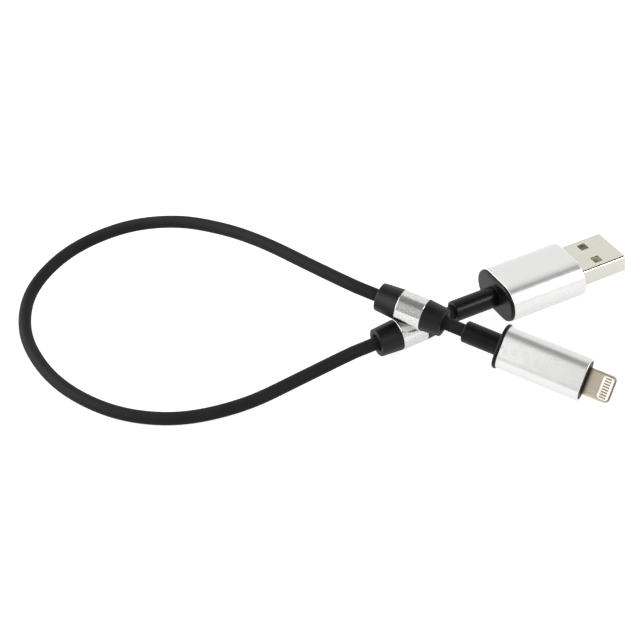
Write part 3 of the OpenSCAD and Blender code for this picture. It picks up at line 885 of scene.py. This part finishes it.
class CABLE_OT_host_shell(bpy.types.Operator):
    """Folded metal shell of the host plug, its tongue and its strips"""

    bl_idname = "charging_cable.host_shell"
    bl_label = "Host plug shell"

    # Latch windows: length, width, corner, how far their middles lie behind
    # the tip and to each side; then the seam's half width, how high the seam
    # is cut, and the bevel of all cut edges, in millimetres
    window_length, window_width, window_corner = 2.1, 2.4, 0.18
    window_back, window_side = 6.6, 3.1
    seam_half, seam_top = 0.06, -1.5
    bevel = 0.06
    # How far the cutters reach past the sheet
    reach = 4

    def window(self, side):
        """Cutter of the two windows on one side."""
        bm = bmesh.new()
        shape = rounded_outline(self.window_length, self.window_width,
                                self.window_corner, 3)
        rows = [[bm.verts.new(Vector((a - self.window_back,
                                      b + side * self.window_side, z)) * MM)
                 for a, b in shape] for z in (-self.reach, self.reach)]
        bm.faces.new(rows[0][::-1])
        bm.faces.new(rows[1])
        for k in range(len(shape)):
            n = (k + 1) % len(shape)
            bm.faces.new((rows[0][k], rows[0][n], rows[1][n], rows[1][k]))
        return bm

    def execute(self, context):
        sheet = context.scene.charging_cable.metal.wall / MM
        low, high = extent("host_plug_shell", AT_HOST)
        wide, tall = high.y - low.y, high.z - low.z
        outer = rounded_outline(wide, tall, 2 * sheet)
        inner = rounded_outline(wide - 2 * sheet, tall - 2 * sheet, sheet)
        rings = [[Vector((x, a, b)) for a, b in shape]
                 for x, shape in ((low.x, outer), (high.x, outer),
                                  (high.x, inner), (low.x, inner))]
        piece = make_piece("host_shell", loft(rings), AT_HOST, "cable",
                           finish("plated sheet"))
        seam = bmesh.new()
        box_mesh(seam, (low.x - 1, -self.seam_half, -self.reach),
                 (high.x + 1, self.seam_half, self.seam_top))
        cut_and_bevel(piece, [self.window(-1), self.window(1), seam], self.bevel)
        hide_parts("host_plug_shell")
        dress("host_plug_tongue", "tongue plastic")
        dress("host_plug_contacts", "gilded strip")
        return {"FINISHED"}


class CABLE_OT_phone_sleeve(bpy.types.Operator):
    """Satin sleeve of the phone plug with the black plate in its mouth"""

    bl_idname = "charging_cable.phone_sleeve"
    bl_label = "Phone plug sleeve"

    def execute(self, context):
        edge = context.scene.charging_cable.metal.rear_edge / MM
        make_sleeve("phone_sleeve", "phone_plug_sleeve", "phone_plug_core", AT_PHONE,
                    edge)
        dress("phone_plug_bezel", "black plastic")
        return {"FINISHED"}


class CABLE_OT_phone_tab(bpy.types.Operator):
    """Metal tab of the phone plug with its white field and contacts"""

    bl_idname = "charging_cable.phone_tab"
    bl_label = "Phone plug tab"

    def execute(self, context):
        dress("phone_plug_frame", "plated tab")
        dress("phone_plug_insert", "white plastic")
        dress("phone_plug_contacts", "gilded contact")
        return {"FINISHED"}


class CABLE_OT_collars(bpy.types.Operator):
    """The two sliding collars: metal bands between black tapered caps"""

    bl_idname = "charging_cable.collars"
    bl_label = "Collars"

    # A cap's narrow end: its radius and rounding, then the radius, rounding
    # and depth of its flared mouth; and the groove at the band
    tip_radius, tip_edge = 3.5, 0.25
    mouth_radius, mouth_edge, mouth_depth = 2.4, 0.2, 0.9
    groove = 0.12

    def band(self, where, place, rim):
        """Metal band with bright bevelled rims.

        Returns half its length, its hole's radius and its own radius."""
        cad_node = f"{where}_collar_band"
        high = extent(cad_node, place)[1]
        half, radius = high.x, high.z
        hole = extent(f"{where}_collar_magnet", place)[1].z + SEAT
        profile = [(-half, hole)]
        profile += corner_arc(-half + rim, radius - rim, rim, 180, 90, 3)
        profile += corner_arc(half - rim, radius - rim, rim, 90, 0, 3)
        profile += [(half, hole)]
        rings = [section(x, 0, r) for x, r in profile]
        band = make_piece(f"{where}_band", loft(rings), place, f"{where}_collar",
                          finish("turned aluminium"))
        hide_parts(cad_node)
        return half, hole, radius

    def cap(self, where, end, way, place, root, hole, radius):
        """Black cap: spigot, small groove at the band, taper, flared mouth."""
        bore = bpy.context.scene.charging_cable.rubber.bore / MM
        groove = self.groove
        cad_node = f"{where}_collar_{end}_cap"
        low, high = extent(cad_node, place)
        spigot, tip = sorted((abs(low.x), abs(high.x)))
        shape = [(spigot, bore), (spigot, hole - SEAT), (root, hole - SEAT)]
        shape += corner_arc(root + groove, radius - 2 * groove, groove, 180, 85, 3)
        shape += corner_arc(tip - self.tip_edge, self.tip_radius - self.tip_edge,
                            self.tip_edge, 84, 0, 6)
        shape += corner_arc(tip - self.mouth_edge, self.mouth_radius,
                            self.mouth_edge, 0, -90, 3)
        shape += [(tip - self.mouth_depth, bore)]
        rings = [section(way * x, 0, r) for x, r in shape]
        cap = make_piece(f"{where}_cap_{end}", loft(rings), place,
                         f"{where}_collar", finish("collar rubber"),
                         sharp=BLUNT)
        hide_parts(cad_node)

    def execute(self, context):
        rim = context.scene.charging_cable.metal.rim / MM
        for where, place in (("lower", AT_LOWER), ("upper", AT_UPPER)):
            root, hole, radius = self.band(where, place, rim)
            self.cap(where, "front", 1, place, root, hole, radius)
            self.cap(where, "rear", -1, place, root, hole, radius)
            dress(f"{where}_collar_magnet", "magnet plating")
        return {"FINISHED"}


class CABLE_OT_inside(bpy.types.Operator):
    """Finishes of the pieces inside both plugs"""

    bl_idname = "charging_cable.inside"
    bl_label = "Inside pieces"

    def execute(self, context):
        for cad_node, key in (
                ("host_plug_core", "black plastic"),
                ("host_plug_crimp", "crimped tin"),
                ("host_plug_wires", "wire insulation"),
                ("phone_plug_board", "green board"),
                ("phone_plug_core", "black plastic"),
                ("phone_plug_crimp", "crimped tin"),
                ("phone_plug_wires", "wire insulation")):
            dress(cad_node, key)
        return {"FINISHED"}


class CABLE_OT_stage(bpy.types.Operator):
    """Pale floor, soft studio light and the camera"""

    bl_idname = "charging_cable.stage"
    bl_label = "Stage"

    # Even light of the room, how much it gains towards the back, and the
    # least light anywhere
    even, gain, least = 0.92, 0.07, 0.02
    # Patches of the studio's light: the way they lie, their inner and outer
    # angle in degrees, and the light that they add or take
    patches = (
        ((-0.021, 0.000, 1.000), 11.1, 32.8, -0.65),
        ((0.552, -0.641, 0.534), 7.5, 14.0, 12.00),
        ((-0.800, 0.450, 0.390), 40.0, 43.8, 3.10),
        ((-0.672, -0.584, 0.456), 27.9, 52.6, -0.36),
        ((0.437, -0.196, 0.878), 6.0, 17.0, -0.54),
    )

    # Top lamp: where it hangs, the point it looks at, its side and power
    lamp_place, lamp_aim = Vector((-0.1, 0.0, 1.4)), Vector((-0.07, 0.02, 0))
    lamp_size, lamp_power = 1.6, 4.0
    # Half of the floor's side in metres, and its gap below the object
    floor_half, floor_gap = 4.0, 0.02

    def camera(self, lens):
        """Camera above the near left, tipped a little to one side."""
        right = Vector((0.88938, -0.45084, -0.07579))
        down = Vector((-0.32855, -0.51503, -0.79171))
        ahead = Vector((0.3179, 0.72903, -0.60618))
        place = Vector((-230.25, -341.65, 296.23)) * MM
        data = bpy.data.cameras.new("camera")
        data.lens, data.sensor_width = lens, 36
        data.clip_start, data.clip_end = 0.01, 20
        camera = bpy.data.objects.new("camera", data)
        bpy.context.scene.collection.objects.link(camera)
        turned = Matrix((right, -down, -ahead)).transposed().to_4x4()
        camera.matrix_world = Matrix.Translation(place) @ turned
        bpy.context.scene.camera = camera

    def studio(self, brightness):
        """Pale room: soft patches of more or less light on an even base."""
        world = bpy.data.worlds.new("studio")
        bpy.context.scene.world = world
        world.use_nodes = True
        tree = world.node_tree
        back = tree.nodes["Background"]
        place = node(tree, "ShaderNodeTexCoord")
        level = node(tree, "ShaderNodeSeparateXYZ")
        link(tree, place, "Generated", level, 0)
        total = maths(tree, "Math", "MULTIPLY_ADD", (level, "Y"), self.gain,
                      self.even)
        for direction, inner, outer, amount in self.patches:
            facing = maths(tree, "VectorMath", "DOT_PRODUCT", (place, "Generated"),
                           Vector(direction).normalized())
            patch = ramp(tree, facing, "Value", _interpolation_type="SMOOTHSTEP",
                         From_Min=math.cos(math.radians(outer)),
                         From_Max=math.cos(math.radians(inner)), To_Max=amount)
            total = maths(tree, "Math", "ADD", (total, "Value"), (patch, "Result"))
        dimmest = maths(tree, "Math", "MAXIMUM", (total, "Value"), self.least)
        strength = maths(tree, "Math", "MULTIPLY", (dimmest, "Value"), brightness)
        link(tree, strength, "Value", back, "Strength")
        back.inputs["Color"].default_value = (1.0, 1.0, 0.985, 1)

    def lamp(self):
        """Soft square lamp above the object, not seen in reflections."""
        data = bpy.data.lights.new("top lamp", "AREA")
        data.shape, data.size = "SQUARE", self.lamp_size
        data.energy = self.lamp_power
        lamp = bpy.data.objects.new("top lamp", data)
        bpy.context.scene.collection.objects.link(lamp)
        lamp.location = self.lamp_place
        aim = self.lamp_aim - self.lamp_place
        lamp.rotation_euler = aim.to_track_quat("-Z", "Y").to_euler()
        lamp.visible_glossy = False

    def execute(self, context):
        settings = context.scene.charging_cable.stage
        bm = bmesh.new()
        bmesh.ops.create_grid(bm, x_segments=1, y_segments=1, size=self.floor_half)
        mesh = bpy.data.meshes.new("floor")
        bm.to_mesh(mesh)
        bm.free()
        floor = bpy.data.objects.new("floor", mesh)
        floor.location.z = (FLOOR - self.floor_gap) * MM
        context.scene.collection.objects.link(floor)
        material, _, shader, _ = new_finish("pale floor", settings.floor, 0.0,
                                            False, specular=0.05)
        shader.inputs["Roughness"].default_value = 0.8
        shader.inputs["Emission Color"].default_value = (1, 1, 1, 1)
        shader.inputs["Emission Strength"].default_value = settings.glow
        mesh.materials.append(material)
        self.studio(settings.brightness)
        self.lamp()
        self.camera(settings.lens)
        view = context.scene.view_settings
        view.view_transform = "Standard"
        view.look = "None"
        return {"FINISHED"}


OPERATORS = (
    CABLE_OT_stage, CABLE_OT_cord, CABLE_OT_host_sleeve, CABLE_OT_host_shell,
    CABLE_OT_phone_sleeve, CABLE_OT_phone_tab, CABLE_OT_end_caps,
    CABLE_OT_collars, CABLE_OT_inside,
)


class CABLE_PT_panel(bpy.types.Panel):
    """Lists the cable's settings and pieces in the sidebar"""

    bl_label = "Charging cable"
    bl_idname = "CABLE_PT_panel"
    bl_space_type = "VIEW_3D"
    bl_region_type = "UI"
    bl_category = "Charging cable"

    def draw(self, context):
        settings = context.scene.charging_cable
        for part in (settings.cord, settings.metal, settings.rubber, settings.stage):
            box = self.layout.box()
            for key in part.__annotations__:
                box.prop(part, key)
        column = self.layout.column(align=True)
        for operator in OPERATORS:
            column.operator(operator.bl_idname)


CLASSES = (
    CordSettings, MetalSettings, RubberSettings, StageSettings, CableSettings,
    *OPERATORS, CABLE_PT_panel,
)


def register():
    """Adds the settings, operators and panel."""
    for made in CLASSES:
        bpy.utils.register_class(made)
    bpy.types.Scene.charging_cable = PointerProperty(type=CableSettings)


def unregister():
    """Takes them away again."""
    del bpy.types.Scene.charging_cable
    for made in reversed(CLASSES):
        bpy.utils.unregister_class(made)


def main():
    """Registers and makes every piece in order."""
    register()
    make = bpy.ops.charging_cable
    make.stage()
    make.cord()
    make.host_sleeve()
    make.host_shell()
    make.phone_sleeve()
    make.phone_tab()
    make.end_caps()
    make.collars()
    make.inside()


if __name__ == "__main__":
    main()
